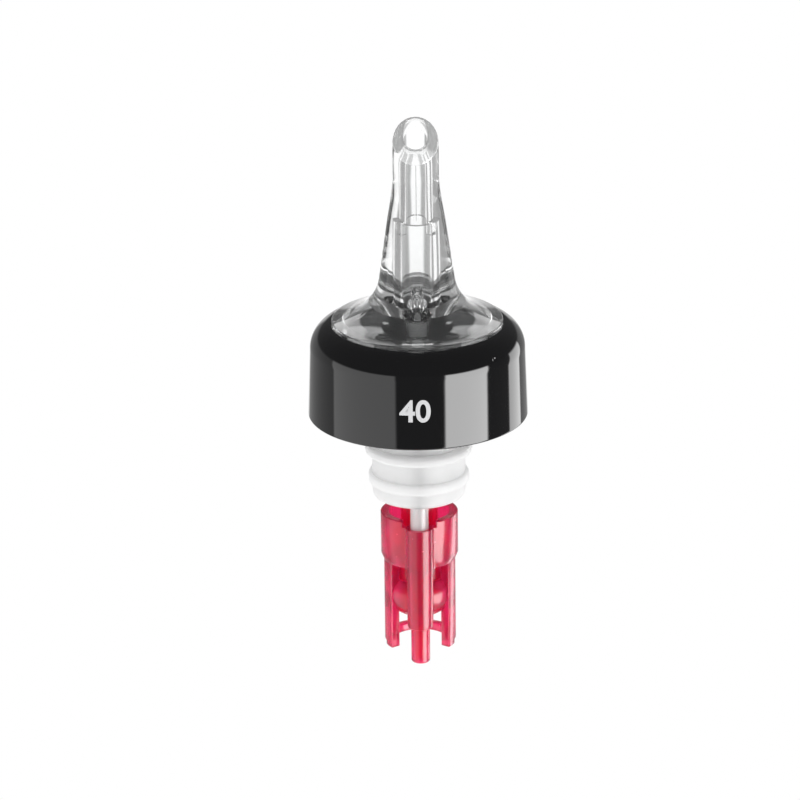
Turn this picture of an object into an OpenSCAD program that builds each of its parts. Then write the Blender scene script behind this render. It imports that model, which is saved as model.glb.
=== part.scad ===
// Measured liquor pourer with three steel balls.
// A clear spout, a black collar and a ribbed cork seal the bottle. A red tail below the cork
// meters the liquor: its ball rides up when the bottle is turned over and shuts the flow.
// Millimetres, +Z up. The origin is on the pourer's axis, in the plane where the bottle's lip seats.
// The slanted mouth and the breather are at the front, which is -Y.

/* [Spout] */
// Outer radius of the pouring tip
tip_r = 4.25; // [3.8:0.05:4.8]
// Length of the tip's straight land, which a dust cap slips over
tip_land = 3.4; // [2:0.1:3.6]
// How much the tip narrows above that land
tip_taper = 0.05; // [0.02:0.01:0.1]
// Radius of the bore in the pouring tip
tip_bore_r = 2.05; // [1.7:0.05:2.1]
// Height of the mouth's back edge above the bottle lip, before it is rounded
tip_top = 43.9; // [42:0.1:48]
// Slant of the mouth from level, in degrees
mouth_slant = 36; // [20:1:38]
// Rounding of the mouth's outer edge
mouth_round = 1.3; // [0.6:0.05:1.3]
// Rounding of the bore's edge in the mouth
bore_round = 0.8; // [0.3:0.05:0.8]
// Angle at which those rounds meet the nozzle's walls, in degrees
round_start = 20; // [10:1:30]
// Height of the inner shoulder, where the bore widens
shoulder_z = 24.5; // [23.5:0.1:26]
// Outer radius at the inner shoulder
shoulder_r = 5.4; // [5:0.05:5.9]
// Height where the flare starts to spread
flare_z = 14; // [13:0.1:15.5]
// Outer radius where the flare starts to spread
flare_r = 6.9; // [6.6:0.05:7.3]
// Radius of the ball's cavity in the nozzle
cavity_r = 2.9; // [2.75:0.05:3]
// Length of the ribs that stop the ball below the shoulder
rib_len = 2.2; // [1.6:0.1:3]
// Thickness of the ball's stop ribs
rib_t = 0.8; // [0.6:0.05:1.2]

/* [Dome] */
// Radius of the dome's rim
dome_r = 15.85; // [15:0.05:16.5]
// Height of the rim's straight edge
rim_h = 1.7; // [1.4:0.1:2.2]
// Width of the rim's foot, which stands on the collar
rim_w = 2.6; // [2:0.1:3.2]
// Radius of the ceiling in the hollow under the dome
ceiling_r = 8.2; // [7.6:0.1:8.4]
// Height of the ceiling's outer edge above the dome's seat
ceiling_h = 4.2; // [3.9:0.1:4.3]
// Rise of the ceiling towards the ball tube
ceiling_rise = 0.4; // [0.2:0.1:1]
// Height of the straight wall inside the rim's foot
foot_h = 0.9; // [0.6:0.1:1.1]
// Outer radius of the ball tube under the dome
ball_tube_r = 4.2; // [4.1:0.05:4.4]
// Outer radius of the neck that carries the cork
neck_r = 3.85; // [3.75:0.05:4]
// Bore of the neck
neck_bore_r = 3.1; // [3.05:0.05:3.15]

/* [Collar] */
// Outer radius of the collar at its bottom edge
collar_r = 20.35; // [20:0.05:22]
// How far the collar hangs below the bottle lip
collar_skirt = 13; // [10:0.1:16]
// Draft of the collar's side, in degrees
collar_draft = 2; // [1:0.1:3]
// Wall of the collar's skirt
collar_wall = 1.35; // [1:0.05:1.7]
// Radius of the rounded shoulder
collar_round = 5; // [4.2:0.1:5.2]
// Thickness of the web under the dome
web_t = 2; // [1.6:0.1:2.6]
// Height of the rounded shoulder's crown above the dome's seat
crown_h = 1.2; // [1:0.1:1.6]
// Outer radius of the post that stands on the web around the ball tube
post_r = 5.4; // [5.2:0.05:5.6]
// Height of the post above the web
post_h = 3.3; // [2.5:0.1:3.8]
// Width of the raised ring around the post's foot
ring_w = 1.3; // [0.8:0.05:1.6]
// Height of that ring above the web
ring_h = 1; // [0.6:0.05:1.4]

/* [Cork] */
// Radius of the cork's head, which seals on the bottle lip
head_r = 13; // [12:0.1:14]
// Thickness of the cork's head
head_t = 1.8; // [1.4:0.1:2.4]
// Radius of the plug below the head
plug_r = 8.65; // [8.6:0.05:9]
// Length of the plug below the bottle lip
plug_len = 29.3; // [28:0.1:32]
// Wall of the plug
plug_wall = 1.2; // [0.9:0.05:1.3]
// Rounding of the plug's lower edge
plug_round = 1.4; // [1:0.1:1.8]
// Radius of the wide sealing ribs
wide_rib_r = 9.95; // [9.6:0.05:10.3]
// Radius of the narrow sealing rib nearest the bottom
narrow_rib_r = 9.35; // [9.1:0.05:9.6]
// Flat land on the crest of a sealing rib
rib_land = 0.8; // [0.6:0.1:1.2]
// Height of a sealing rib at its root
rib_root = 2.2; // [1.8:0.1:3.6]
// Pitch of the sealing ribs
rib_pitch = 5.75; // [4.5:0.05:6]
// Height of the lowest sealing rib above the plug's bottom
rib_rise = 4; // [3.5:0.1:5]
// Number of sealing ribs
rib_count = 4; // [2:1:4]
// Wall of the hub inside the plug
hub_wall = 1.1; // [0.9:0.05:1.15]
// Length of neck that the hub grips
hub_grip = 4; // [3:0.1:6]
// Depth of the socket for the tail's spigot
spigot_depth = 2.4; // [2:0.1:3]
// Thickness of the shut-off lip inside the hub
lip_t = 1.5; // [1.2:0.1:2]
// Radius of the hole in the shut-off lip
lip_hole_r = 1.9; // [1.6:0.05:2.1]

/* [Breather] */
// Distance of the breather from the pourer's axis
breather_y = 6.3; // [6.2:0.05:6.4]
// Outer radius of the breather tube
breather_r = 1.7; // [1.6:0.05:1.75]
// Bore radius of the breather tube
breather_bore_r = 0.9; // [0.7:0.05:1.05]
// Radius of the air inlet in the front of the flare
inlet_r = 1.1; // [0.9:0.05:1.2]
// Height of the air inlet's closed end
inlet_top = 14.1; // [13.5:0.1:15]
// Wall of the boss around the breather under the dome
boss_wall = 0.75; // [0.6:0.05:0.9]
// Depth of the boss's socket for the breather tube
boss_socket = 3.2; // [2.5:0.1:4]
// Height of the breather tube's lower end above the cup's bottom
breather_rise = 1; // [0.6:0.1:2]

/* [Metering tube] */
// Gap between the cork and the cup, where the liquor enters
inlet_gap = 3; // [2:0.1:4]
// Outer radius of the cup
cup_r = 7.2; // [7:0.05:7.5]
// Wall of the cup
cup_wall = 1.5; // [1.2:0.05:1.7]
// Height of the cup
cup_h = 9.3; // [8:0.1:11]
// Thickness of the cup's floor
cup_floor = 1.6; // [1.2:0.1:2]
// Width of the chamfer under the cup
cup_chamfer = 0.5; // [0.3:0.05:0.7]
// Height of the chamfer under the cup
cup_chamfer_h = 1.25; // [0.8:0.05:1.5]
// Outer radius of the spigot that plugs into the cork
spigot_r = 3.8; // [3.7:0.05:3.9]
// Bore that the metering ball rides in
metering_bore_r = 2.65; // [2.6:0.05:2.8]
// Width of a window in the spigot
window_w = 3.2; // [2.4:0.1:3.6]
// Height of a window's sill above the cup's floor
window_sill = 0.4; // [0.2:0.1:1]
// Outer radius of the throat below the cup
throat_r = 4.3; // [4.2:0.05:4.35]
// Length of throat that shows between the cup and the bulb
throat_h = 3.6; // [3:0.1:4.5]
// Length of throat that plugs into the bulb
throat_plug = 2; // [1.5:0.1:2.4]
// Outer radius of the front tube at its top
front_tube_r = 2.55; // [2.45:0.05:2.6]
// Outer radius of the front tube at its lower end
front_tube_end_r = 2.4; // [2.3:0.05:2.5]
// How far the front tube's top is below the cup's rim
front_tube_drop = 1.2; // [0.8:0.1:1.6]
// Fillet between the cup and the front tube
front_fillet = 0.7; // [0.4:0.05:1]

/* [Ball cage] */
// Greatest radius of the bulb
bulb_r = 6.4; // [6.2:0.05:6.5]
// Height of the bulb
bulb_h = 8; // [7.5:0.1:9]
// Depth of the bulb's round bottom
bowl_depth = 4.9; // [4.4:0.1:5.2]
// Wall at the bottom of the bulb
bowl_wall = 1; // [0.8:0.05:1.2]
// Radius of the timing hole in the bulb's bottom
timing_hole_r = 0.5; // [0.3:0.05:0.7]
// Outer radius of the legs
leg_r = 6.65; // [6.4:0.05:6.7]
// Wall of the legs
leg_wall = 1.8; // [1.5:0.05:1.9]
// Half of a leg's width, as an angle in degrees
leg_half_angle = 37; // [30:1:42]
// Length of the legs below the cup
leg_len = 16.9; // [16:0.1:18]
// Depth of the notch between a leg's two feet
foot_notch = 0.85; // [0.4:0.05:1.2]
// Half of the notch's width, as an angle in degrees
notch_half_angle = 17; // [10:1:22]
// Height of the bridge that joins the legs at the back
bridge_h = 1.6; // [1.2:0.1:2.2]
// Length of the front tube below the cup
front_tube_len = 11.7; // [11:0.1:12.5]
// Outer radius of the air nipple
nipple_r = 1.75; // [1.6:0.05:1.9]
// Bore of the air nipple
nipple_bore_r = 1; // [0.8:0.05:1.05]
// Length of the air nipple
nipple_len = 6.9; // [5.5:0.1:8]

/* [Balls] */
// Radius of the ball in the spout and of the metering ball
ball_r = 2.5; // [2.4:0.05:2.55]
// Radius of the ball in the breather
breather_ball_r = 1.5; // [1.45:0.05:1.55]
// Play of the breather's ball in the cage, all round
breather_play = 0.1; // [0.06:0.02:0.14]
// Length of the ball seat in the neck
seat_len = 6.8; // [5:0.1:8]
// Height of the ball seat's top above the bottle lip
seat_top = 5.8; // [5:0.1:6.5]
// Bore of the ball seat
seat_bore_r = 1.6; // [1.4:0.05:1.7]

/* [Fits] */
// Clearance all round between parts that plug together
fit = 0.05; // [0.02:0.01:0.08]
// Gap between a ball and the seat or stop that it rests on
ball_gap = 0.03; // [0.02:0.01:0.06]

/* [Hidden] */
$fn = 96;
over = 1; // how far a cutter runs past the face that it cuts

// Heights of the seats, from the spout down to the cage
web_bottom = head_t;
dome_seat_z = web_bottom + web_t;
rim_top_z = dome_seat_z + rim_h;
ceiling_z = dome_seat_z + ceiling_h;
tip_straight_z = shoulder_z + 8.5;
plug_bottom = -plug_len;
lip_bottom = plug_bottom + spigot_depth;
neck_end = lip_bottom + lip_t;
hub_top = neck_end + hub_grip;
cup_top = plug_bottom - inlet_gap;
front_tube_top = cup_top - front_tube_drop;
cup_bottom = cup_top - cup_h;
cup_floor_z = cup_bottom + cup_floor;
bulb_top = cup_bottom - throat_h;
bulb_bottom = bulb_top - bulb_h;
bulb_equator = bulb_bottom + bowl_depth;
throat_end = bulb_top - throat_plug;
front_tube_end = cup_bottom - front_tube_len;
nipple_end = front_tube_end - nipple_len;
leg_end = cup_bottom - leg_len;
breather_end = cup_bottom + breather_rise;
boss_top = dome_seat_z + boss_socket;

// Radii that follow from the parts that they fit
recess_r = dome_r + 3 * fit;
foot_r = dome_r - rim_w;
hub_bore_r = neck_r + fit;
hub_r = hub_bore_r + hub_wall;
front_bore_r = breather_r + fit;
cage_bore_r = breather_ball_r + breather_play;
boss_r = breather_r + fit + boss_wall;
chamber_r = throat_r + fit;

// A ball on a 45 degree seat: its centre stands this far above the seat's mouth
function on_cone(ball, mouth) = ball * sqrt(2) - mouth;
// A ball against a round edge: its centre stands this far off the edge's plane
function on_edge(ball, edge) = sqrt(ball * ball - edge * edge);

// Rest heights of the balls and the travel up to their stops
rib_stop_r = tip_bore_r + 2 * fit;
spout_ball_z = seat_top + on_cone(ball_r, cavity_r) + ball_gap;
spout_ball_travel = shoulder_z - rib_len - on_edge(ball_r, rib_stop_r) - ball_gap - spout_ball_z;
metering_ball_z = bulb_bottom + bowl_wall + ball_r + ball_gap;
metering_ball_travel = lip_bottom - on_edge(ball_r, lip_hole_r) - ball_gap - metering_ball_z;
breather_seat_z = front_tube_end + bowl_wall + cage_bore_r - nipple_bore_r;
breather_ball_z = breather_seat_z + on_cone(breather_ball_r, cage_bore_r) + ball_gap;
breather_ball_travel =
  breather_end - on_edge(breather_ball_r, breather_bore_r) - ball_gap - breather_ball_z;
echo(spout_ball_z = spout_ball_z, spout_ball_travel = spout_ball_travel);
echo(metering_ball_z = metering_ball_z, metering_ball_travel = metering_ball_travel);
echo(breather_ball_z = breather_ball_z, breather_ball_travel = breather_ball_travel);

// Points of a cubic curve through p[0] and p[3], drawn towards p[1] and p[2]
function curve(p, steps = 16) = [
  for (i = [0:steps])
    let (t = i / steps, s = 1 - t)
      s * s * s * p[0] + 3 * s * s * t * p[1] + 3 * s * t * t * p[2] + t * t * t * p[3]
];

// Points of an elliptical arc about a centre, from one angle to another
function arc(centre, rx, ry, from, to, steps = 12) = [
  for (i = [0:steps])
    let (a = from + (to - from) * i / steps) centre + [rx * cos(a), ry * sin(a)]
];

module revolve(outline) {
  rotate_extrude() polygon(outline);
}

module at_breather() {
  translate([0, -breather_y, 0]) children();
}

// A ring sector in plan, between two radii, centred on an angle
module sector(inner, outer, centre_angle, half_angle) {
  reach = 2 * outer;
  intersection() {
    difference() {
      circle(outer);
      circle(inner);
    }
    rotate(centre_angle)
      polygon([
        [0, 0],
        [reach * cos(half_angle), -reach * sin(half_angle)],
        [reach * cos(half_angle), reach * sin(half_angle)]
      ]);
  }
}

// Spout: clear nozzle, dome and neck, moulded in one piece

module spout_skin() {
  revolve(concat(
    [[0, dome_seat_z], [dome_r, dome_seat_z]],
    curve([
      [dome_r, rim_top_z],
      [dome_r - 4.85, rim_top_z + 1.5],
      [flare_r + 0.5, flare_z - 5],
      [flare_r, flare_z]
    ]),
    curve([
      [shoulder_r, shoulder_z],
      [shoulder_r - 0.45, shoulder_z + 3],
      [tip_r + 0.1, shoulder_z + 5.5],
      [tip_r, tip_straight_z]
    ]),
    [
      [tip_r, tip_straight_z + tip_land],
      [tip_r - tip_taper, tip_top + over],
      [0, tip_top + over]
    ]
  ));
}

// The hollow follows the flare, so that the dome is a thin shell
module dome_hollow() {
  foot_top = dome_seat_z + foot_h;
  revolve(concat(
    [[ball_tube_r, dome_seat_z - over], [foot_r, dome_seat_z - over]],
    curve([
      [foot_r, foot_top],
      [foot_r - 1.6, foot_top + 1],
      [ceiling_r + 1.6, ceiling_z - 1.5],
      [ceiling_r, ceiling_z]
    ], 8),
    [[ball_tube_r, ceiling_z + ceiling_rise]]
  ));
}

module ball_stop_ribs() {
  stop_count = 3;
  translate([0, 0, shoulder_z - rib_len])
    for (i = [0:stop_count - 1])
      rotate(90 + i * 360 / stop_count)
        translate([rib_stop_r, -rib_t / 2, 0])
          cube([cavity_r - rib_stop_r + fit, rib_t, rib_len + fit]);
}

// A round bar with a rolled rim and a rolled hole at its end, leant back to the mouth's slant
module leaning_mouth() {
  lean = tan(mouth_slant);
  start = cos(round_start);
  bar_r = tip_r + mouth_round * (1 - start);
  bar_len = tip_top - tip_straight_z;
  multmatrix([[1, 0, 0, 0], [0, 1, 0, 0], [0, lean, 1, tip_top - tip_r * lean], [0, 0, 0, 1]])
    revolve(concat(
      [[0, -bar_len], [bar_r, -bar_len]],
      arc([bar_r - mouth_round, -mouth_round], mouth_round, mouth_round, 0, 90, 8),
      arc([tip_bore_r + bore_round * start, -bore_round], bore_round, bore_round, 90, 180, 6),
      [[0, -bore_round]]
    ));
}

// All that stands outside the rolled mouth above the straight part of the tip
module mouth_cutter() {
  cut_z = tip_straight_z + over;
  difference() {
    translate([0, 0, cut_z]) cylinder(r = 2 * tip_r, h = tip_top + 2 * over - cut_z);
    leaning_mouth();
  }
}

module spout() {
  color("white", 0.4)
    difference() {
      union() {
        difference() {
          spout_skin();
          dome_hollow();
        }
        intersection() {
          spout_skin();
          at_breather()
            translate([0, 0, dome_seat_z]) cylinder(r = boss_r, h = inlet_top - dome_seat_z);
        }
        translate([0, 0, neck_end]) cylinder(r = neck_r, h = dome_seat_z + over - neck_end);
      }
      difference() {
        union() {
          translate([0, 0, neck_end - over])
            cylinder(r = neck_bore_r, h = seat_top - neck_end + over);
          translate([0, 0, seat_top - over])
            cylinder(r = cavity_r, h = shoulder_z - seat_top + over);
          translate([0, 0, shoulder_z - fit])
            cylinder(r = tip_bore_r, h = tip_top - shoulder_z + 3 * over);
        }
        ball_stop_ribs();
      }
      at_breather() {
        translate([0, 0, dome_seat_z - over])
          cylinder(r = front_bore_r, h = boss_socket + over);
        translate([0, 0, dome_seat_z]) cylinder(r = inlet_r, h = inlet_top - dome_seat_z);
      }
      mouth_cutter();
    }
}

// Ball seat: black rubber bush pressed into the neck under the spout's ball

module ball_seat() {
  bush_r = neck_bore_r - fit;
  cone_r = cavity_r;
  color("#202022")
    revolve([
      [seat_bore_r, seat_top - seat_len],
      [bush_r, seat_top - seat_len],
      [bush_r, seat_top],
      [cone_r, seat_top],
      [seat_bore_r, seat_top - (cone_r - seat_bore_r)]
    ]);
}

// Collar: black cap with a web that is held between the dome and the cork

module collar() {
  skirt_bottom = -collar_skirt;
  round_z = dome_seat_z + crown_h - collar_round;
  side_r = collar_r - (round_z - skirt_bottom) * tan(collar_draft);
  round_r = side_r - collar_round;
  recess_angle = acos((recess_r - round_r) / collar_round);
  inner_r = collar_r - collar_wall;
  inner_top_r = inner_r - (web_bottom - skirt_bottom) * tan(collar_draft);
  inner_round = collar_wall;
  edge_round = 0.4;
  color("#101012")
    difference() {
      revolve(concat(
        [[0, web_bottom], [inner_top_r - inner_round, web_bottom]],
        arc([inner_top_r - inner_round, web_bottom - inner_round], inner_round, inner_round, 90, 0, 5),
        [[inner_r, skirt_bottom]],
        arc([collar_r - edge_round, skirt_bottom + edge_round], edge_round, edge_round, -90, 0, 5),
        arc([round_r, round_z], collar_round, collar_round, 0, recess_angle),
        [
          [recess_r, dome_seat_z],
          [post_r + ring_w, dome_seat_z],
          [post_r + ring_w, dome_seat_z + ring_h],
          [post_r, dome_seat_z + ring_h],
          [post_r, dome_seat_z + post_h],
          [0, dome_seat_z + post_h]
        ]
      ));
      translate([0, 0, web_bottom - over]) cylinder(r = neck_r + fit, h = web_t + 2 * over);
      translate([0, 0, dome_seat_z]) cylinder(r = ball_tube_r + fit, h = post_h + over);
      at_breather() {
        translate([0, 0, web_bottom - over]) cylinder(r = front_bore_r, h = web_t + 2 * over);
        translate([0, 0, dome_seat_z]) cylinder(r = boss_r + 2 * fit, h = post_h + over);
      }
    }
}

// Cork: translucent ribbed plug with a hub that grips the neck and the tail

module sealing_rib(crest_r, z) {
  root_r = plug_r - plug_wall / 2;
  flank = (rib_root - rib_land) / 2;
  translate([0, 0, z])
    revolve(concat(
      [[root_r, -rib_root / 2]],
      arc([plug_r, -rib_land / 2], crest_r - plug_r, flank, -90, 0, 6),
      arc([plug_r, rib_land / 2], crest_r - plug_r, flank, 0, 90, 6),
      [[root_r, rib_root / 2]]
    ));
}

module cork() {
  inner_r = plug_r - plug_wall;
  color("white", 0.8)
    difference() {
      union() {
        revolve(concat(
          [[0, plug_bottom]],
          arc([plug_r - plug_round, plug_bottom + plug_round], plug_round, plug_round, -90, 0, 6),
          [[plug_r, 0], [head_r, 0], [head_r, head_t], [0, head_t]]
        ));
        for (i = [0:rib_count - 1])
          sealing_rib(i == 0 ? narrow_rib_r : wide_rib_r, plug_bottom + rib_rise + i * rib_pitch);
      }
      translate([0, 0, hub_top]) cylinder(r = inner_r, h = head_t - hub_top + over);
      difference() {
        translate([0, 0, plug_bottom + plug_wall])
          cylinder(r = inner_r, h = hub_top - plug_bottom - plug_wall);
        cylinder(r = hub_r, h = 4 * plug_len, center = true);
      }
      translate([0, 0, neck_end]) cylinder(r = hub_bore_r, h = hub_grip + over);
      translate([0, 0, plug_bottom - over]) cylinder(r = lip_hole_r, h = plug_len);
      translate([0, 0, plug_bottom - over]) cylinder(r = spigot_r + fit, h = spigot_depth + over);
      at_breather()
        translate([0, 0, plug_bottom - over])
          cylinder(r = front_bore_r, h = plug_len + head_t + 2 * over);
    }
}

// Breather tube: clear tube from the dome's boss down into the front tube

module breather_tube() {
  color("white", 0.5)
    at_breather()
      translate([0, 0, breather_end])
        difference() {
          cylinder(r = breather_r, h = boss_top - breather_end);
          translate([0, 0, -over])
            cylinder(r = breather_bore_r, h = boss_top - breather_end + 2 * over);
        }
}

// Metering tube: red cup, spigot and throat, with the upper half of the front tube

// Outline of the front tube with the fillets that blend it into the cup
module front_tube_plan() {
  sink = 0.03; // how far a fillet's ends run into the walls that it joins
  wall_r = cup_r - sink;
  tube_r = front_tube_r - sink;
  d_cup = wall_r + front_fillet;
  d_tube = tube_r + front_fillet;
  along = (d_cup * d_cup - d_tube * d_tube + breather_y * breather_y) / (2 * breather_y);
  aside = sqrt(d_cup * d_cup - along * along);
  translate([0, -breather_y]) circle(front_tube_r);
  for (side = [-1, 1])
    difference() {
      polygon([
        [0, -breather_y],
        [side * aside, -along] * wall_r / d_cup,
        [side * aside, -along],
        [0, -breather_y] + [side * aside, breather_y - along] * tube_r / d_tube
      ]);
      translate([side * aside, -along]) circle(front_fillet);
    }
}

module metering_tube() {
  window_bottom = cup_floor_z + window_sill;
  window_top = plug_bottom - inlet_gap / 5;
  color("#d4143c", 0.8)
    difference() {
      union() {
        difference() {
          revolve([
            [0, cup_bottom],
            [cup_r - cup_chamfer, cup_bottom],
            [cup_r, cup_bottom + cup_chamfer_h],
            [cup_r, cup_top],
            [0, cup_top]
          ]);
          translate([0, 0, cup_floor_z]) cylinder(r = cup_r - cup_wall, h = cup_h);
        }
        translate([0, 0, throat_end]) cylinder(r = throat_r, h = cup_bottom + over - throat_end);
        translate([0, 0, cup_bottom]) cylinder(r = spigot_r, h = lip_bottom - fit - cup_bottom);
        translate([0, 0, cup_bottom])
          linear_extrude(front_tube_top - cup_bottom) front_tube_plan();
      }
      translate([0, 0, throat_end - over])
        cylinder(r = metering_bore_r, h = lip_bottom - throat_end + 2 * over);
      at_breather()
        translate([0, 0, cup_bottom - over])
          cylinder(r = front_bore_r, h = cup_h + 2 * over);
      at_breather()
        translate([0, 0, front_tube_top])
          cylinder(r = front_tube_r + front_fillet, h = cup_h);
      for (angle = [0, 90, 180])
        rotate(angle)
          translate([0, -window_w / 2, window_bottom])
            cube([spigot_r + over / 2, window_w, window_top - window_bottom]);
    }
}

// Ball cage: red bulb, legs and the lower half of the front tube with its air nipple

module bulb_skin() {
  lip_w = 0.45;
  revolve(concat(
    [[0, bulb_top]],
    curve([
      [chamber_r + lip_w, bulb_top],
      [bulb_r - 0.5, bulb_top - 0.7],
      [bulb_r, bulb_equator + 1.3],
      [bulb_r, bulb_equator]
    ]),
    arc([0, bulb_equator], bulb_r, bowl_depth, 0, -90)
  ));
}

module bulb_chamber() {
  revolve(concat(
    [[0, cup_bottom + over], [chamber_r, cup_bottom + over]],
    arc([0, bulb_equator], chamber_r, bowl_depth - bowl_wall, 0, -90)
  ));
}

module legs() {
  for (angle = [0, 180])
    difference() {
      translate([0, 0, leg_end])
        linear_extrude(leg_len) sector(leg_r - leg_wall, leg_r, angle, leg_half_angle);
      translate([0, 0, leg_end - over])
        linear_extrude(foot_notch + over)
          sector(leg_r - leg_wall - over, leg_r + over, angle, notch_half_angle);
    }
  translate([0, 0, leg_end])
    linear_extrude(bridge_h)
      sector(leg_r - leg_wall, leg_r, 90, 90 - leg_half_angle + 5);
}

module ball_cage() {
  nipple_round = 0.5;
  color("#d4143c", 0.8)
    difference() {
      union() {
        bulb_skin();
        legs();
        at_breather() {
          translate([0, 0, front_tube_end])
            cylinder(r1 = front_tube_end_r, r2 = front_tube_r, h = front_tube_len);
          revolve(concat(
            [[0, nipple_end]],
            arc([nipple_r - nipple_round, nipple_end + nipple_round], nipple_round, nipple_round, -90, 0, 5),
            [[nipple_r, front_tube_end + over], [0, front_tube_end + over]]
          ));
        }
      }
      bulb_chamber();
      translate([0, 0, bulb_bottom - over]) cylinder(r = timing_hole_r, h = bowl_wall + 2 * over);
      at_breather()
        revolve([
          [0, nipple_end - over],
          [nipple_bore_r, nipple_end - over],
          [nipple_bore_r, breather_seat_z - (cage_bore_r - nipple_bore_r)],
          [cage_bore_r, breather_seat_z],
          [cage_bore_r, cup_bottom + over],
          [0, cup_bottom + over]
        ]);
    }
}

// Balls: polished steel, each at rest on its lower seat

module steel_ball(r, y, z) {
  color("silver") translate([0, y, z]) sphere(r);
}

module spout_ball() {
  steel_ball(ball_r, 0, spout_ball_z);
}

module metering_ball() {
  steel_ball(ball_r, 0, metering_ball_z);
}

module breather_ball() {
  steel_ball(breather_ball_r, -breather_y, breather_ball_z);
}

spout();
spout_ball();
ball_seat();
collar();
cork();
breather_tube();
metering_tube();
metering_ball();
ball_cage();
breather_ball();
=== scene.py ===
import math

import bmesh
import bpy
from mathutils import Matrix, Vector


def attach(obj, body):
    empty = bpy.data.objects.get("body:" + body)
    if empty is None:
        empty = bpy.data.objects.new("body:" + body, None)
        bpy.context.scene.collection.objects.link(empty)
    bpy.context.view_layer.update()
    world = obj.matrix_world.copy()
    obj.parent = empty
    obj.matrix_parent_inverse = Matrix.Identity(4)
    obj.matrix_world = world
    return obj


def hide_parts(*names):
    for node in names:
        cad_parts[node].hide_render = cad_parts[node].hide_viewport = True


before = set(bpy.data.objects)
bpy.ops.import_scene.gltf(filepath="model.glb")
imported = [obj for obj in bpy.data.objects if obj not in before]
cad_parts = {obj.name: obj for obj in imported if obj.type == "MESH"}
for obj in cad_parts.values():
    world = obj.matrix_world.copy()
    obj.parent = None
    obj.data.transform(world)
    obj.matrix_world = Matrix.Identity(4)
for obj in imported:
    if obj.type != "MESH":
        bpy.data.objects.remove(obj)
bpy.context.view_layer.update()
scene = bpy.context.scene
MM = 0.001

# Spout: nozzle, dome and neck in one clear injection moulding, standing in the collar's recess.
# It is skinned ring by ring, so that its rounded end leans with the slanted mouth, whose lip is hazy.
# A boss under the dome takes the breather tube, and three ribs stop the ball below the nozzle's bore.
tip_r = 4.25
tip_start_z = 33.0
tip_land_z = 36.4
tip_end_r = 4.21
tip_bore_r = 2.05
tip_top = 43.9
mouth_slope = math.tan(math.radians(36))
lip_round = 1.3
bore_round = 0.8
shoulder_r = 5.4
shoulder_z = 24.5
nozzle_pulls = ((4.95, 27.5), (4.35, 30.0))
flare_r = 6.9
flare_z = 14.0
flare_pulls = ((11.0, 7.0), (7.4, 9.0))
cavity_r = 2.9
stop_rib_r = 2.15
stop_rib_len = 2.2
stop_rib_t = 0.8
stop_rib_count = 3
stop_rib_sink = 0.2
seat_top = 5.8
dome_r = 15.85
dome_seat_z = 3.8
seat_gap = 0.03
dome_rim_z = 5.5
dome_round = 0.3
dome_foot_r = 13.25
dome_foot_top = 4.7
ceiling_r = 8.2
ceiling_z = 8.0
ceiling_inner_z = 8.4
ceiling_pulls = ((9.8, 6.5), (11.65, 5.7))
ball_tube_r = 4.2
neck_r = 3.85
neck_bore_r = 3.1
neck_end = -25.4
breather_y = -6.3
breather_hole_r = 1.75
spout_steps = 192
seam_h = 0.04
fit = 0.05
over = 1
weld_w = 0.00001
sliver_w = 0.0005
sharp_angle = math.radians(28)
bevel_angle = math.radians(40)


def arc(centre_r, centre_z, radius, start, stop, steps=8):
    """Points of a round edge, from one angle to another in degrees."""
    angles = [math.radians(start + (stop - start) * i / steps) for i in range(steps + 1)]
    return [(centre_r + radius * math.cos(a), centre_z + radius * math.sin(a)) for a in angles]


def sweep(start, pull_start, pull_end, end, steps=28):
    """Points of a smooth curve from start to end, drawn towards its two pulls."""
    points = []
    for i in range(steps + 1):
        t = i / steps
        s = 1 - t
        weights = (s ** 3, 3 * s * s * t, 3 * s * t * t, t ** 3)
        corners = (start, pull_start, pull_end, end)
        points.append(tuple(sum(w * c[k] for w, c in zip(weights, corners)) for k in (0, 1)))
    return points


def ring(radius, height, at_y=0.0, steps=96):
    """One turn of points about a vertical axis."""
    angles = [2 * math.pi * i / steps for i in range(steps)]
    return [Vector((radius * math.cos(a), at_y + radius * math.sin(a), height)) for a in angles]


def mesh_piece(name, shell):
    """A scene object from a finished bmesh, with loose edges taken off and its faces turned outwards."""
    bmesh.ops.remove_doubles(shell, verts=shell.verts, dist=weld_w * MM)
    loose = [edge for edge in shell.edges if not edge.link_faces]
    bmesh.ops.delete(shell, geom=loose, context="EDGES")
    bmesh.ops.recalc_face_normals(shell, faces=shell.faces)
    mesh = bpy.data.meshes.new(name)
    shell.to_mesh(mesh)
    shell.free()
    piece = bpy.data.objects.new(name, mesh)
    scene.collection.objects.link(piece)
    return piece


def skin(name, rings):
    """A closed shell through rings of points, the last ring joined to the first."""
    shell = bmesh.new()
    rows = [[shell.verts.new(point * MM) for point in row] for row in rings]
    for low, high in zip(rows, rows[1:] + rows[:1]):
        for i in range(len(low)):
            j = (i + 1) % len(low)
            shell.faces.new((low[i], low[j], high[j], high[i]))
    return mesh_piece(name, shell)


def turn(name, outline, at_y=0.0, steps=96):
    """A turned piece: its closed outline of (radius, height) points goes round a vertical axis."""
    return skin(name, [ring(r, z, at_y, steps) for r, z in outline])


def rod(radius, bottom, top, at_y=0.0, steps=96):
    """A plain round tool, to cut with or to join."""
    return turn("rod", [(0, bottom), (radius, bottom), (radius, top), (0, top)], at_y, steps)


def combine(piece, tool, operation):
    """Join a tool to a piece or cut it out of it, and use the tool up."""
    step = piece.modifiers.new("step", "BOOLEAN")
    step.object = tool
    step.operation = operation
    step.solver = "EXACT"
    seen = bpy.context.evaluated_depsgraph_get()
    mesh = bpy.data.meshes.new_from_object(piece.evaluated_get(seen))
    piece.modifiers.clear()
    piece.data = mesh
    bpy.data.objects.remove(tool)


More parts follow.
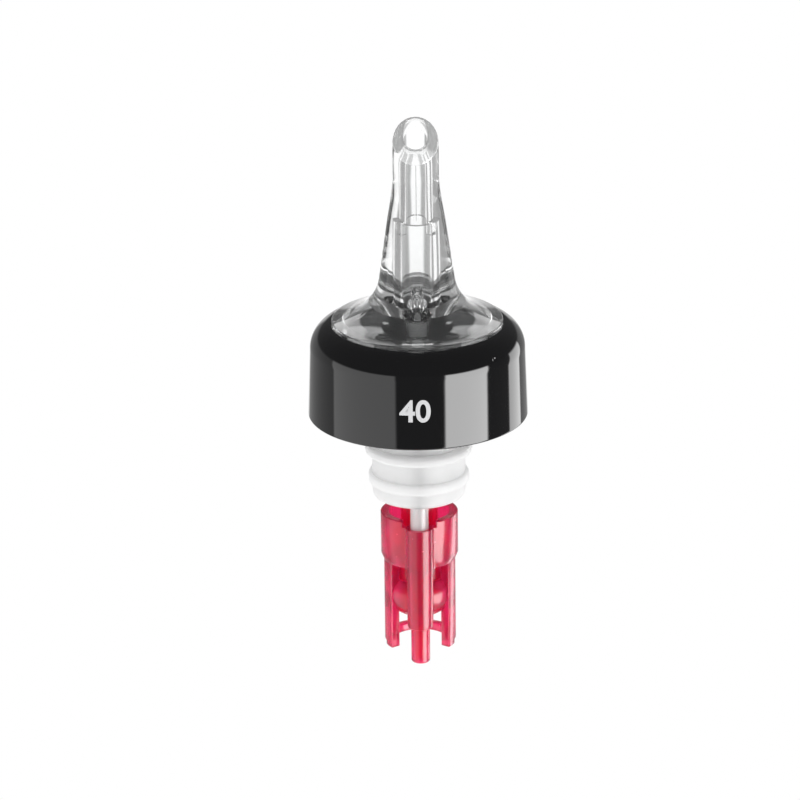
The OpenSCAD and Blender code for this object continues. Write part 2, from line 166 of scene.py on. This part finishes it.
def cut(piece, *tools):
    """Cut tools out of a piece, one after the other."""
    for tool in tools:
        combine(piece, tool, "DIFFERENCE")


def join(piece, *tools):
    """Join tools to a piece, one after the other."""
    for tool in tools:
        combine(piece, tool, "UNION")


def plate(name, outline, bottom, top, soft=0.0):
    """A flat piece: its outline of (x, y) points stands from bottom to top, with its edges rounded."""
    shell = bmesh.new()
    base = shell.faces.new([shell.verts.new((x * MM, y * MM, bottom * MM)) for x, y in outline])
    raised = bmesh.ops.extrude_face_region(shell, geom=[base])
    lifted = [v for v in raised["geom"] if isinstance(v, bmesh.types.BMVert)]
    bmesh.ops.translate(shell, verts=lifted, vec=(0, 0, (top - bottom) * MM))
    bmesh.ops.recalc_face_normals(shell, faces=shell.faces)
    if soft:
        sharp = [e for e in shell.edges if e.calc_face_angle(0) > bevel_angle]
        bmesh.ops.bevel(shell, geom=sharp, offset=soft * MM, segments=2, profile=0.5, affect="EDGES")
    return mesh_piece(name, shell)


def dress(piece, material, slot, body, *nodes):
    """Clear slivers off a piece and close the slits they leave, then smooth it and give it its finish.

    The piece rides on a body and stands for its CAD nodes."""
    shell = bmesh.new()
    shell.from_mesh(piece.data)
    bmesh.ops.remove_doubles(shell, verts=shell.verts, dist=sliver_w * MM)
    bmesh.ops.dissolve_degenerate(shell, edges=shell.edges, dist=sliver_w * MM)
    slits = [edge for edge in shell.edges if edge.is_boundary]
    bmesh.ops.holes_fill(shell, edges=slits)
    shell.to_mesh(piece.data)
    shell.free()
    piece.data.shade_smooth()
    piece.data.set_sharp_from_angle(angle=sharp_angle)
    piece.data.materials.clear()
    piece.data.materials.append(material)
    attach(piece, body)
    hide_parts(*nodes)


def moulded(name, colour, roughness, grain, ripple, dim=0.96, depth=0.1):
    """A moulded finish: a soft grain varies the tone and the gloss and ripples the surface a little."""
    material = bpy.data.materials.new(name)
    material.use_nodes = True
    tree = material.node_tree
    shader = tree.nodes["Principled BSDF"]
    place = tree.nodes.new("ShaderNodeTexCoord")
    noise = tree.nodes.new("ShaderNodeTexNoise")
    noise.inputs["Scale"].default_value = 1 / (grain * MM)
    noise.inputs["Detail"].default_value = 3
    tree.links.new(place.outputs["Object"], noise.inputs["Vector"])
    gloss = tree.nodes.new("ShaderNodeMapRange")
    gloss.inputs["To Min"].default_value = roughness[0]
    gloss.inputs["To Max"].default_value = roughness[1]
    tree.links.new(noise.outputs["Fac"], gloss.inputs["Value"])
    tree.links.new(gloss.outputs["Result"], shader.inputs["Roughness"])
    tone = tree.nodes.new("ShaderNodeMix")
    tone.data_type = "RGBA"
    tone.inputs["A"].default_value = (*[dim * c for c in colour], 1)
    tone.inputs["B"].default_value = (*colour, 1)
    tree.links.new(noise.outputs["Fac"], tone.inputs["Factor"])
    tree.links.new(tone.outputs["Result"], shader.inputs["Base Color"])
    wave = tree.nodes.new("ShaderNodeBump")
    wave.inputs["Strength"].default_value = ripple
    wave.inputs["Distance"].default_value = depth * MM
    tree.links.new(noise.outputs["Fac"], wave.inputs["Height"])
    tree.links.new(wave.outputs["Normal"], shader.inputs["Normal"])
    return material, shader


def on_mouth(points, rise):
    """Lay a ring on the slanted mouth, with a rise above it."""
    heights = [tip_top - (tip_r - p.y) * mouth_slope + rise for p in points]
    return [Vector((p.x, p.y, z)) for p, z in zip(points, heights)]


def with_seam(points):
    """Raise the parting line of the mould at the front and the back of a ring."""
    for i in (len(points) // 4, 3 * len(points) // 4):
        points[i] = points[i] + Vector((0, math.copysign(seam_h, points[i].y), 0))
    return points


dome_skin = [(dome_r, dome_seat_z + seat_gap)]
dome_skin += arc(dome_r - dome_round, dome_rim_z - dome_round, dome_round, 0, 75, 4)
flare = sweep((dome_r - dome_round, dome_rim_z), *flare_pulls, (flare_r, flare_z))
dome_skin += flare[1:-1]
nozzle = [(flare_r, flare_z)]
nozzle += sweep((shoulder_r, shoulder_z), *nozzle_pulls, (tip_r, tip_start_z), 20)
nozzle += [(tip_r, tip_land_z)]
spout_rings = [ring(r, z, steps=spout_steps) for r, z in dome_skin]
spout_rings += [with_seam(ring(r, z, steps=spout_steps)) for r, z in nozzle]
spout_rings += [
    on_mouth(ring(r, 0, steps=spout_steps), rise)
    for r, rise in arc(tip_end_r - lip_round, -lip_round, lip_round, 0, 90, 6)
]
spout_rings += [
    on_mouth(ring(r, 0, steps=spout_steps), rise)
    for r, rise in arc(tip_bore_r + bore_round, -bore_round, bore_round, 90, 180, 6)
]
inside = [
    (tip_bore_r, shoulder_z), (cavity_r, shoulder_z), (cavity_r, seat_top), (neck_bore_r, seat_top),
    (neck_bore_r, neck_end), (neck_r, neck_end), (neck_r, dome_seat_z), (ball_tube_r, dome_seat_z),
    (ball_tube_r, ceiling_inner_z),
    *sweep((ceiling_r, ceiling_z), *ceiling_pulls, (dome_foot_r, dome_foot_top), 12),
    (dome_foot_r, dome_seat_z + seat_gap),
]
spout_rings += [ring(r, z, steps=spout_steps) for r, z in inside]
spout = skin("spout_clear", spout_rings)

boss_r = 2.5
boss_slope = 0.34
boss_inner_top = 9.9
boss_socket = 3.2
inlet_r = 1.1
inlet_top = 14.1
boss_ring = ring(boss_r, dome_seat_z, breather_y)
boss_rises = [(p.y - breather_y - boss_r) * boss_slope for p in boss_ring]
boss_top = [Vector((p.x, p.y, boss_inner_top + rise)) for p, rise in zip(boss_ring, boss_rises)]
boss_axis = Vector((0, breather_y, 0))
boss = skin("boss", [
    [boss_axis + Vector((0, 0, dome_seat_z))] * len(boss_ring),
    boss_ring,
    boss_top,
    [boss_axis + Vector((0, 0, boss_top[0].z))] * len(boss_ring),
])
join(spout, boss)
stop_rib_reach = cavity_r + stop_rib_sink
stop_rib_corners = [(stop_rib_r, -1), (stop_rib_reach, -1), (stop_rib_reach, 1), (stop_rib_r, 1)]
for i in range(stop_rib_count):
    spin = Matrix.Rotation(math.radians(90 + i * 360 / stop_rib_count), 2)
    rib = [spin @ Vector((r, side * stop_rib_t / 2)) for r, side in stop_rib_corners]
    join(spout, plate("stop_rib", rib, shoulder_z - stop_rib_len, shoulder_z + stop_rib_sink))
cut(spout, rod(breather_hole_r, dome_seat_z - over, dome_seat_z + boss_socket, breather_y))
cut(spout, rod(inlet_r, dome_seat_z, inlet_top, breather_y))

clear_tint = (0.985, 0.99, 0.99)
clear_ior = 1.49
clear_plastic, shader = moulded(
    "clear_plastic", colour=clear_tint, roughness=(0.0, 0.003), grain=6.0, ripple=0.004
)
shader.inputs["Transmission Weight"].default_value = 0.98
shader.inputs["IOR"].default_value = clear_ior
dress(spout, clear_plastic, "clear_plastic", "pourer", "spout")
hazy_lip, shader = moulded("hazy_lip", colour=clear_tint, roughness=(0.06, 0.1), grain=6.0, ripple=0.004)
shader.inputs["Transmission Weight"].default_value = 0.68
shader.inputs["IOR"].default_value = clear_ior
spout.data.materials.append(hazy_lip)
for face in spout.data.polygons:
    lip_z = tip_top - lip_round - (tip_r - face.center.y / MM) * mouth_slope
    if face.center.z / MM > lip_z:
        face.material_index = 1

# Ball seat: a black rubber bush pressed into the neck under the spout's ball.
# The CAD solid has its shape; it gets a matt, slightly grained rubber.
black_rubber, _ = moulded(
    "black_rubber", colour=(0.018, 0.018, 0.019), roughness=(0.45, 0.65), grain=0.4, ripple=0.3
)
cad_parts["ball_seat"].material_slots[0].material = black_rubber

# Balls: three hardened steel balls, ground and polished, free in their bores.
# The CAD solids have their shape; the finish has the fine haze that rolling leaves.
polished_steel, shader = moulded(
    "polished_steel", colour=(0.72, 0.72, 0.73), roughness=(0.06, 0.14), grain=0.8, ripple=0.02
)
shader.inputs["Metallic"].default_value = 1.0
for ball in ("spout_ball", "metering_ball", "breather_ball"):
    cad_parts[ball].material_slots[0].material = polished_steel

# Collar: gloss black cap that hides the bottle's lip, held between the dome and the cork.
# One injection moulding with a post around the ball tube; a gate mark is left on its shoulder.
collar_r = 20.35
collar_bottom = -13.0
collar_top = 5.0
collar_wall = 1.35
collar_round = 5.0
collar_draft = math.tan(math.radians(2.0))
collar_edge = 0.4
collar_steps = 256
web_bottom = 1.8
recess_r = 16.0
recess_edge = 0.12
post_r = 5.4
post_top = 7.1
post_edge = 0.25
ring_r = 6.7
ring_top = 4.8
boss_gap = 0.1


def collar_side_r(height):
    """Outer radius of the collar's drafted side."""
    return collar_r - (height - collar_bottom) * collar_draft


round_z = collar_top - collar_round
shoulder_centre_r = collar_side_r(round_z) - collar_round
inner_r = collar_r - collar_wall
inner_top_r = inner_r - (web_bottom - collar_bottom) * collar_draft
collar_outline = [(neck_r + fit, web_bottom), (inner_top_r - collar_wall, web_bottom)]
collar_outline += arc(inner_top_r - collar_wall, web_bottom - collar_wall, collar_wall, 90, 0)
collar_outline += [(inner_r, collar_bottom)]
collar_outline += arc(collar_r - collar_edge, collar_bottom + collar_edge, collar_edge, -90, 0)
rim_r = recess_r + recess_edge
rim_z = round_z + math.sqrt((collar_round - recess_edge) ** 2 - (rim_r - shoulder_centre_r) ** 2)
rim_turn = math.degrees(math.atan2(rim_z - round_z, rim_r - shoulder_centre_r))
collar_outline += arc(shoulder_centre_r, round_z, collar_round, 0, rim_turn, 24)
collar_outline += arc(rim_r, rim_z, recess_edge, rim_turn, 180, 6)[1:]
collar_outline += [
    (recess_r, dome_seat_z), (ring_r, dome_seat_z),
    *arc(ring_r - post_edge, ring_top - post_edge, post_edge, 0, 90, 4), (post_r, ring_top),
    *arc(post_r - post_edge, post_top - post_edge, post_edge, 0, 90, 4), (ball_tube_r + fit, post_top),
    (ball_tube_r + fit, dome_seat_z), (neck_r + fit, dome_seat_z),
]
collar = turn("collar_black", collar_outline, steps=collar_steps)
cut(collar, rod(boss_r + boss_gap, dome_seat_z, post_top + over, breather_y))
cut(collar, rod(breather_hole_r, web_bottom - over, dome_seat_z + over, breather_y))

gate_turn = math.radians(46)
gate_lift = math.radians(24)
gate_ball_r = 1.3
gate_depth = 0.12
gate_out = shoulder_centre_r + (collar_round + gate_ball_r - gate_depth) * math.cos(gate_lift)
gate_z = round_z + (collar_round + gate_ball_r - gate_depth) * math.sin(gate_lift)
gate = turn("gate", arc(0, 0, gate_ball_r, -90, 90, 24), steps=48)
gate.location = Vector((gate_out * math.sin(gate_turn), -gate_out * math.cos(gate_turn), gate_z)) * MM
cut(collar, gate)

black_plastic, shader = moulded(
    "black_plastic", colour=(0.004, 0.004, 0.0045), roughness=(0.03, 0.08), grain=9.0, ripple=0.05
)
shader.inputs["IOR"].default_value = 1.55
dress(collar, black_plastic, "black_plastic", "pourer", "collar")

# Number: the measure in millilitres, pad printed in light grey ink on the collar's front.
# The figures are cut into narrow upright strips, so that they wrap round the drafted side.
number_h = 4.3
number_z = -5.4
number_x = -0.6
ink_t = 0.03
strip_w = 0.25
figures = bpy.data.curves.new("figures", "FONT")
figures.body = "40"
figures.align_x = "CENTER"
figures.align_y = "CENTER"
figures.offset = 0.02
figures.resolution_u = 12
figures.extrude = 0.01
flat_number = bpy.data.objects.new("flat_number", figures)
scene.collection.objects.link(flat_number)
seen = bpy.context.evaluated_depsgraph_get()
flat_mesh = bpy.data.meshes.new_from_object(flat_number.evaluated_get(seen))
bpy.data.objects.remove(flat_number)
ink_film = bmesh.new()
ink_film.from_mesh(flat_mesh)
low_y = min(v.co.y for v in ink_film.verts)
high_y = max(v.co.y for v in ink_film.verts)
middle_y = (low_y + high_y) / 2
scale = number_h / (high_y - low_y)
for vert in ink_film.verts:
    front = vert.co.z > 0
    vert.co = Vector((vert.co.x * scale, (vert.co.y - middle_y) * scale, 1.0 if front else 0.0))
left_x = min(v.co.x for v in ink_film.verts)
right_x = max(v.co.x for v in ink_film.verts)
for i in range(1, int((right_x - left_x) / strip_w) + 1):
    everything = ink_film.verts[:] + ink_film.edges[:] + ink_film.faces[:]
    strip_edge = (left_x + i * strip_w, 0, 0)
    bmesh.ops.bisect_plane(ink_film, geom=everything, plane_co=strip_edge, plane_no=(1, 0, 0))
for vert in ink_film.verts:
    height = number_z + vert.co.y
    out = collar_side_r(height) + (ink_t if vert.co.z > 0.5 else -ink_t)
    angle = (vert.co.x + number_x) / collar_r
    vert.co = Vector((out * math.sin(angle), -out * math.cos(angle), height)) * MM
number = mesh_piece("collar_number", ink_film)

grey_ink, _ = moulded(
    "grey_ink", colour=(0.62, 0.62, 0.63), roughness=(0.35, 0.5), grain=0.3, ripple=0.1
)
number.data.materials.append(grey_ink)
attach(number, "pourer")

# Cork: soft ribbed plug of natural polyethylene, which shows milky and lets light through.
# Its head seals on the bottle's lip, and a hub inside grips the spout's neck and the tail's spigot.
head_r = 13.0
plug_r = 8.65
plug_bottom = -29.3
plug_round = 1.4
plug_inner_r = 7.45
plug_floor_z = -28.1
hub_r = 5.0
hub_top = -21.4
lip_hole_r = 1.9
lip_bottom = -26.9
socket_r = 3.85
wide_rib_r = 9.95
narrow_rib_r = 9.35
rib_land = 0.8
rib_root = 2.2
rib_pitch = 5.75
first_rib_z = -25.3
rib_count = 4


def cork_rib(crest_r, middle_z):
    """Outline of one sealing rib, from its lower root to its upper root."""
    rise = crest_r - plug_r
    flank = (rib_root - rib_land) / 2
    half = [(math.sin(math.radians(a)), math.cos(math.radians(a))) for a in range(0, 91, 15)]
    lower = [(plug_r + rise * s, middle_z - rib_land / 2 - flank * c) for s, c in half]
    upper = [(plug_r + rise * s, middle_z + rib_land / 2 + flank * c) for s, c in reversed(half)]
    return lower + upper


cork_outline = arc(plug_r - plug_round, plug_bottom + plug_round, plug_round, -90, 0)
for i in range(rib_count):
    cork_outline += cork_rib(narrow_rib_r if i == 0 else wide_rib_r, first_rib_z + i * rib_pitch)
cork_outline += [
    (plug_r, 0), (head_r, 0), (head_r, web_bottom), (plug_inner_r, web_bottom),
    (plug_inner_r, plug_floor_z), (hub_r, plug_floor_z), (hub_r, hub_top), (neck_r + fit, hub_top),
    (neck_r + fit, neck_end), (lip_hole_r, neck_end), (lip_hole_r, lip_bottom), (socket_r, lip_bottom),
    (socket_r, plug_bottom),
]
cork = turn("cork_milky", cork_outline, steps=128)
cut(cork, rod(breather_hole_r, plug_bottom - over, web_bottom + over, breather_y))

milky_plastic, shader = moulded(
    "milky_plastic", colour=(0.985, 0.985, 0.985), roughness=(0.35, 0.45), grain=1.2, ripple=0.05
)
shader.inputs["Transmission Weight"].default_value = 0.1
shader.inputs["IOR"].default_value = 1.25
shader.inputs["Subsurface Weight"].default_value = 1.0
shader.inputs["Subsurface Radius"].default_value = (1.0, 1.0, 1.0)
shader.inputs["Subsurface Scale"].default_value = 2.5 * MM
dress(cork, milky_plastic, "milky_plastic", "pourer", "cork")

# Breather tube: clear extruded tube that leads air from the dome's boss into the tail's front tube.
# It is cut square, passes through the cork, and is held in the boss above and the front tube below.
breather_r = 1.7
breather_bore_r = 0.9
breather_top = 7.0
breather_end = -40.6
breather = turn("breather_clear", [
    (breather_bore_r, breather_end), (breather_r, breather_end), (breather_r, breather_top),
    (breather_bore_r, breather_top),
], breather_y, 64)

clear_tube, shader = moulded(
    "clear_tube", colour=(0.97, 0.975, 0.975), roughness=(0.1, 0.2), grain=2.0, ripple=0.02
)
shader.inputs["Transmission Weight"].default_value = 0.6
shader.inputs["IOR"].default_value = 1.45
dress(breather, clear_tube, "clear_tube", "pourer", "breather_tube")

# Metering tube: the red upper moulding of the tail, a cup with a spigot that plugs into the cork,
# a throat that plugs into the bulb, and the upper half of the front tube. Dyed clear plastic.
cup_r = 7.2
cup_inner_r = 5.7
cup_top = -32.3
cup_floor_z = -40.0
cup_bottom = -41.6
cup_chamfer = 0.5
cup_chamfer_h = 1.25
cup_round = 0.2
spigot_r = 3.8
spigot_top = -26.95
metering_bore_r = 2.65
throat_r = 4.3
throat_end = -47.2
front_tube_r = 2.55
front_tube_top = -33.5
front_bore_r = 1.75
front_fillet = 0.7
window_w = 3.2
window_bottom = -39.6
window_top = -29.9
window_over = 0.5
fillet_sink = 0.03


def tube_fillet(side):
    """The corner between the cup and one side of the front tube, filled to a hollow round."""
    to_cup = cup_r - fillet_sink + front_fillet
    to_tube = front_tube_r - fillet_sink + front_fillet
    along = (to_cup ** 2 - to_tube ** 2 + breather_y ** 2) / (2 * breather_y)
    centre = Vector((side * math.sqrt(to_cup ** 2 - along ** 2), along))
    from_cup = -centre
    from_tube = Vector((0, breather_y)) - centre
    start = math.degrees(math.atan2(from_cup.y, from_cup.x))
    turn_by = math.degrees(from_tube.angle_signed(from_cup))
    hollow = arc(centre.x, centre.y, front_fillet, start, start + turn_by)
    return plate("fillet", [(0, breather_y)] + hollow, cup_bottom, front_tube_top)


metering = turn("metering_red", [
    (metering_bore_r, spigot_top), (spigot_r, spigot_top), (spigot_r, cup_floor_z),
    (cup_inner_r, cup_floor_z),
    *arc(cup_inner_r + cup_round, cup_top - cup_round, cup_round, 180, 90, 4),
    *arc(cup_r - cup_round, cup_top - cup_round, cup_round, 90, 0, 4),
    (cup_r, cup_bottom + cup_chamfer_h), (cup_r - cup_chamfer, cup_bottom), (throat_r, cup_bottom),
    (throat_r, throat_end), (metering_bore_r, throat_end),
], steps=128)
join(metering, rod(front_tube_r, cup_bottom, front_tube_top, breather_y), tube_fillet(-1), tube_fillet(1))
cut(metering, rod(metering_bore_r, throat_end - over, spigot_top + over))
cut(metering, rod(front_bore_r, cup_bottom - over, front_tube_top + over, breather_y))
cut(metering, rod(front_tube_r + front_fillet, front_tube_top, cup_top + over, breather_y))
half_window = window_w / 2
window_reach = spigot_r + window_over
for outline in (
    [(-window_reach, -half_window), (window_reach, -half_window), (window_reach, half_window),
     (-window_reach, half_window)],
    [(-half_window, 0), (half_window, 0), (half_window, window_reach), (-half_window, window_reach)],
):
    cut(metering, plate("window", outline, window_bottom, window_top))

red_plastic, shader = moulded(
    "red_plastic", colour=(0.9, 0.03, 0.15), roughness=(0.2, 0.3), grain=0.9, ripple=0.06
)
shader.inputs["Transmission Weight"].default_value = 0.8
shader.inputs["IOR"].default_value = 1.45
shader.inputs["Specular IOR Level"].default_value = 0.2
shader.inputs["Subsurface Weight"].default_value = 0.7
shader.inputs["Subsurface Radius"].default_value = (1.0, 0.3, 0.35)
shader.inputs["Subsurface Scale"].default_value = 2 * MM
shader.inputs["Coat Weight"].default_value = 0.35
shader.inputs["Coat Roughness"].default_value = 0.05
dress(metering, red_plastic, "red_plastic", "pourer", "metering_tube")

# Ball cage: the red lower moulding of the tail, a bulb for the metering ball between two legs,
# with a bridge behind them, the lower half of the front tube and its air nipple.
bulb_r = 6.4
bulb_top = -45.2
bulb_bottom = -53.2
bowl_depth = 4.9
bowl_wall = 1.0
bulb_rise = 1.3
bulb_tuck = 0.5
bulb_drop = 0.7
chamber_r = 4.35
bulb_lip = 0.45
timing_hole_r = 0.5
leg_r = 6.65
leg_inner_r = 4.85
leg_end = -58.5
leg_half = 37
leg_soft = 0.15
notch_half = 17
notch_h = 0.85
bridge_h = 1.6
bridge_inset = 0.1
bridge_into_leg = 5
front_tube_end = -53.3
front_tube_end_r = 2.4
tube_round = 0.35
cage_bore_r = 1.6
cone_top = -51.7
nipple_end = -60.2
nipple_r = 1.75
nipple_bore_r = 1.0
nipple_round = 0.5


def sector(inner, outer, middle, half):
    """Outline of part of a ring in plan, centred on an angle."""
    outer_edge = arc(0, 0, outer, middle - half, middle + half, 16)
    inner_edge = arc(0, 0, inner, middle + half, middle - half, 16)
    return outer_edge + inner_edge


def bowl(radius, depth, equator):
    """The round bottom of the bulb, from its middle out to its equator."""
    angles = [math.radians(a) for a in range(-90, 1, 6)]
    return [(radius * math.cos(a), equator + depth * math.sin(a)) for a in angles]


equator = bulb_bottom + bowl_depth
bulb_skin = bowl(bulb_r, bowl_depth, equator)
bulb_pulls = ((bulb_r, equator + bulb_rise), (bulb_r - bulb_tuck, bulb_top - bulb_drop))
bulb_skin += sweep((bulb_r, equator), *bulb_pulls, (chamber_r + bulb_lip, bulb_top), 16)[1:]
cage = turn("cage_red", bulb_skin + [(0, bulb_top)], steps=128)
for middle in (0, 180):
    leg = plate("leg", sector(leg_inner_r, leg_r, middle, leg_half), leg_end, cup_bottom, leg_soft)
    notch = sector(leg_inner_r - over, leg_r + over, middle, notch_half)
    cut(leg, plate("notch", notch, leg_end - over, leg_end + notch_h))
    join(cage, leg)
bridge_half = 90 - leg_half + bridge_into_leg
bridge = sector(leg_inner_r + bridge_inset, leg_r - bridge_inset, 90, bridge_half)
join(cage, plate("bridge", bridge, leg_end + bridge_inset, leg_end + bridge_h, leg_soft))
tube_outline = [(0, nipple_end)]
tube_outline += arc(nipple_r - nipple_round, nipple_end + nipple_round, nipple_round, -90, 0)
tube_outline += [(nipple_r, front_tube_end)]
tube_outline += arc(front_tube_end_r - tube_round, front_tube_end + tube_round, tube_round, -90, 0)
tube_outline += [(front_tube_r, cup_bottom), (0, cup_bottom)]
join(cage, turn("front_tube", tube_outline, breather_y))
chamber = bowl(chamber_r, bowl_depth - bowl_wall, equator)
chamber += [(chamber_r, cup_bottom + over), (0, cup_bottom + over)]
cut(cage, turn("chamber", chamber, steps=128))
cut(cage, rod(timing_hole_r, bulb_bottom - over, bulb_bottom + bowl_wall + over, steps=32))
cone_bottom = cone_top - cage_bore_r + nipple_bore_r
cut(cage, turn("air_way", [
    (0, nipple_end - over), (nipple_bore_r, nipple_end - over), (nipple_bore_r, cone_bottom),
    (cage_bore_r, cone_top), (cage_bore_r, cup_bottom + over), (0, cup_bottom + over),
], breather_y))
dress(cage, red_plastic, "red_plastic", "pourer", "ball_cage")

# Floor: a plain white table top, well below the pourer, which hangs above it as in a bottle's neck.
# It shows white to the camera and keeps a soft shadow.
floor_r = 250
floor_z = -250
floor_t = 5
shadow_share = 0.25
table_glow = 1.05
floor_bottom = floor_z - floor_t
floor = turn("floor", [(0, floor_bottom), (floor_r, floor_bottom), (floor_r, floor_z), (0, floor_z)])
white_table = bpy.data.materials.new("white_table")
white_table.use_nodes = True
tree = white_table.node_tree
table_shader = tree.nodes["Principled BSDF"]
table_shader.inputs["Base Color"].default_value = (0.9, 0.9, 0.9, 1)
table_shader.inputs["Roughness"].default_value = 0.7
glow = tree.nodes.new("ShaderNodeEmission")
glow.inputs["Strength"].default_value = table_glow
path = tree.nodes.new("ShaderNodeLightPath")
share = tree.nodes.new("ShaderNodeMath")
share.operation = "MULTIPLY"
share.inputs[1].default_value = 1 - shadow_share
tree.links.new(path.outputs["Is Camera Ray"], share.inputs[0])
blend = tree.nodes.new("ShaderNodeMixShader")
tree.links.new(share.outputs["Value"], blend.inputs["Fac"])
tree.links.new(table_shader.outputs["BSDF"], blend.inputs[1])
tree.links.new(glow.outputs["Emission"], blend.inputs[2])
tree.links.new(blend.outputs["Shader"], tree.nodes["Material Output"].inputs["Surface"])
floor.data.materials.append(white_table)

# Light: a white studio whose panels stand round the pourer, as their reflections on the collar show.
# Camera rays see plain white, gloss sees the panels, and soft or cloudy plastic an even white light.
# Sharp rays of the clear spout see a ring of panels of their own, with a bright wall above it.
# Heads, feet and fades are spans of a ray's rise; the wall's back and front are bearings in radians.
panel_top = 10.0
panel_blur = 1.5
clear_blur = 5.0
panel_head = (0.05, 0.16)
high_light = 0.13
clear_head = (0.02, 0.12)
wall_back = (2.6, 2.66)
wall_front = (0.4, 0.46)
wall_foot = (0.34, 0.38)
wall_head = (0.68, 0.74)
wall_light = 2.6
sky_fade = (0.3, 0.4)
sky_low = 0.3
sky_high = 0.06
soft_fade = (-0.6, 0.6)
soft_below = 1.25
soft_above = 1.15
gloss_panels = [
    (-180, 1.0), (-166, 0.42), (-101, 1.5), (-24, 0.15), (28.5, 9.0), (78.5, 0.15), (113, 3.5), (138, 0.45),
    (166, 1.0), (180, 1.0),
]
clear_panels = [
    (-180, 1.1), (-168, 0.4), (-105, 1.1), (-75, 0.4), (-50, 1.1), (50, 0.4), (70, 1.1), (95, 0.4),
    (113, 1.1), (143, 0.4), (168, 1.1), (180, 1.1),
]
world = bpy.data.worlds.new("studio")
scene.world = world
world.use_nodes = True
world.cycles.sampling_method = "NONE"
tree = world.node_tree
sky = tree.nodes["Background"]
sky.inputs["Color"].default_value = (1, 1, 1, 1)


def sky_math(operation, first, second):
    """One sum on two sockets or numbers of the studio's light."""
    node = tree.nodes.new("ShaderNodeMath")
    node.operation = operation
    for i, value in enumerate((first, second)):
        if isinstance(value, (int, float)):
            node.inputs[i].default_value = value
        else:
            tree.links.new(value, node.inputs[i])
    return node.outputs["Value"]


def sky_mix(share, first, second):
    """Go from one light to another by a share from 0 to 1."""
    node = tree.nodes.new("ShaderNodeMix")
    node.data_type = "FLOAT"
    for name, value in (("Factor", share), ("A", first), ("B", second)):
        if isinstance(value, (int, float)):
            node.inputs[name].default_value = value
        else:
            tree.links.new(value, node.inputs[name])
    return node.outputs["Result"]


def sky_range(value, span, to_low, to_high):
    """Go smoothly from one number to another while a value runs through a span."""
    node = tree.nodes.new("ShaderNodeMapRange")
    node.interpolation_type = "SMOOTHSTEP"
    tree.links.new(value, node.inputs["Value"])
    names = ("From Min", "From Max", "To Min", "To Max")
    for name, number in zip(names, (*span, to_low, to_high)):
        node.inputs[name].default_value = number
    return node.outputs["Result"]


compass = tree.nodes.new("ShaderNodeTexCoord")
parts = tree.nodes.new("ShaderNodeSeparateXYZ")
tree.links.new(compass.outputs["Generated"], parts.inputs["Vector"])
bearing = sky_math("ARCTAN2", parts.outputs["X"], sky_math("MULTIPLY", parts.outputs["Y"], -1.0))
around = sky_math("ADD", sky_math("DIVIDE", bearing, 2 * math.pi), 0.5)


def panel_ring(panels, blur):
    """Light by bearing: each panel starts at a bearing in degrees and has a level, with a soft edge."""
    strip = tree.nodes.new("ShaderNodeValToRGB")
    tree.links.new(around, strip.inputs["Fac"])
    stops = strip.color_ramp.elements
    stops.remove(stops[1])
    stops[0].position = 0.0
    stops[0].color = (*[panels[0][1] / panel_top] * 3, 1)
    for (start, light), (_, before) in zip(panels[1:], panels):
        for offset, level in ((-blur / 2, before), (blur / 2, light)):
            stop = stops.new(min(1.0, (start + offset + 180) / 360))
            stop.color = (*[level / panel_top] * 3, 1)
    return sky_math("MULTIPLY", strip.outputs["Color"], panel_top)


up = parts.outputs["Z"]
low_light = panel_ring(gloss_panels, panel_blur)
gloss_light = sky_mix(sky_range(up, panel_head, 0.0, 1.0), low_light, high_light)
turned = sky_math("ABSOLUTE", bearing, 0.0)
wall = sky_math("MAXIMUM", sky_range(turned, wall_back, 0.0, 1.0), sky_range(turned, wall_front, 1.0, 0.0))
wall = sky_math("MULTIPLY", wall, sky_range(up, wall_foot, 0.0, 1.0))
wall = sky_math("MULTIPLY", wall, sky_range(up, wall_head, 1.0, 0.0))
clear_high = sky_mix(wall, sky_range(up, sky_fade, sky_low, sky_high), wall_light)
clear_low = panel_ring(clear_panels, clear_blur)
clear_light = sky_mix(sky_range(up, clear_head, 0.0, 1.0), clear_low, clear_high)
soft_light = sky_range(up, soft_fade, soft_below, soft_above)
path = tree.nodes.new("ShaderNodeLightPath")
light = sky_mix(path.outputs["Is Transmission Ray"], gloss_light, soft_light)
light = sky_mix(path.outputs["Is Singular Ray"], light, clear_light)
light = sky_mix(path.outputs["Is Diffuse Ray"], light, soft_light)
light = sky_mix(path.outputs["Is Camera Ray"], light, 1.0)
tree.links.new(light, sky.inputs["Strength"])

# Camera: the photo's view, a long lens a little above the collar and square to the front.
# The lens follows from the photo's scale, and the small roll from the lean of its axis.
photo_px = 800
px_per_mm = 5.4
camera_away = 1200
camera_lift = math.radians(20.2)
camera_roll = math.radians(-0.65)
aim = Vector((-3.35, 0, -10.53))
sensor_w = 36
ray_bounces = 32
lens = bpy.data.cameras.new("lens")
lens.sensor_width = sensor_w
lens.lens = sensor_w * camera_away / (photo_px / px_per_mm)
lens.clip_end = 10
camera = bpy.data.objects.new("camera", lens)
scene.collection.objects.link(camera)
forward = Vector((0, math.cos(camera_lift), -math.sin(camera_lift)))
right = Vector((1, 0, 0))
facing = Matrix((right, right.cross(forward), -forward)).transposed().to_4x4()
stand = Matrix.Translation((aim - forward * camera_away) * MM)
camera.matrix_world = stand @ facing @ Matrix.Rotation(camera_roll, 4, "Z")
scene.camera = camera
scene.view_settings.view_transform = "Standard"
scene.cycles.max_bounces = ray_bounces
scene.cycles.glossy_bounces = ray_bounces
scene.cycles.transmission_bounces = ray_bounces
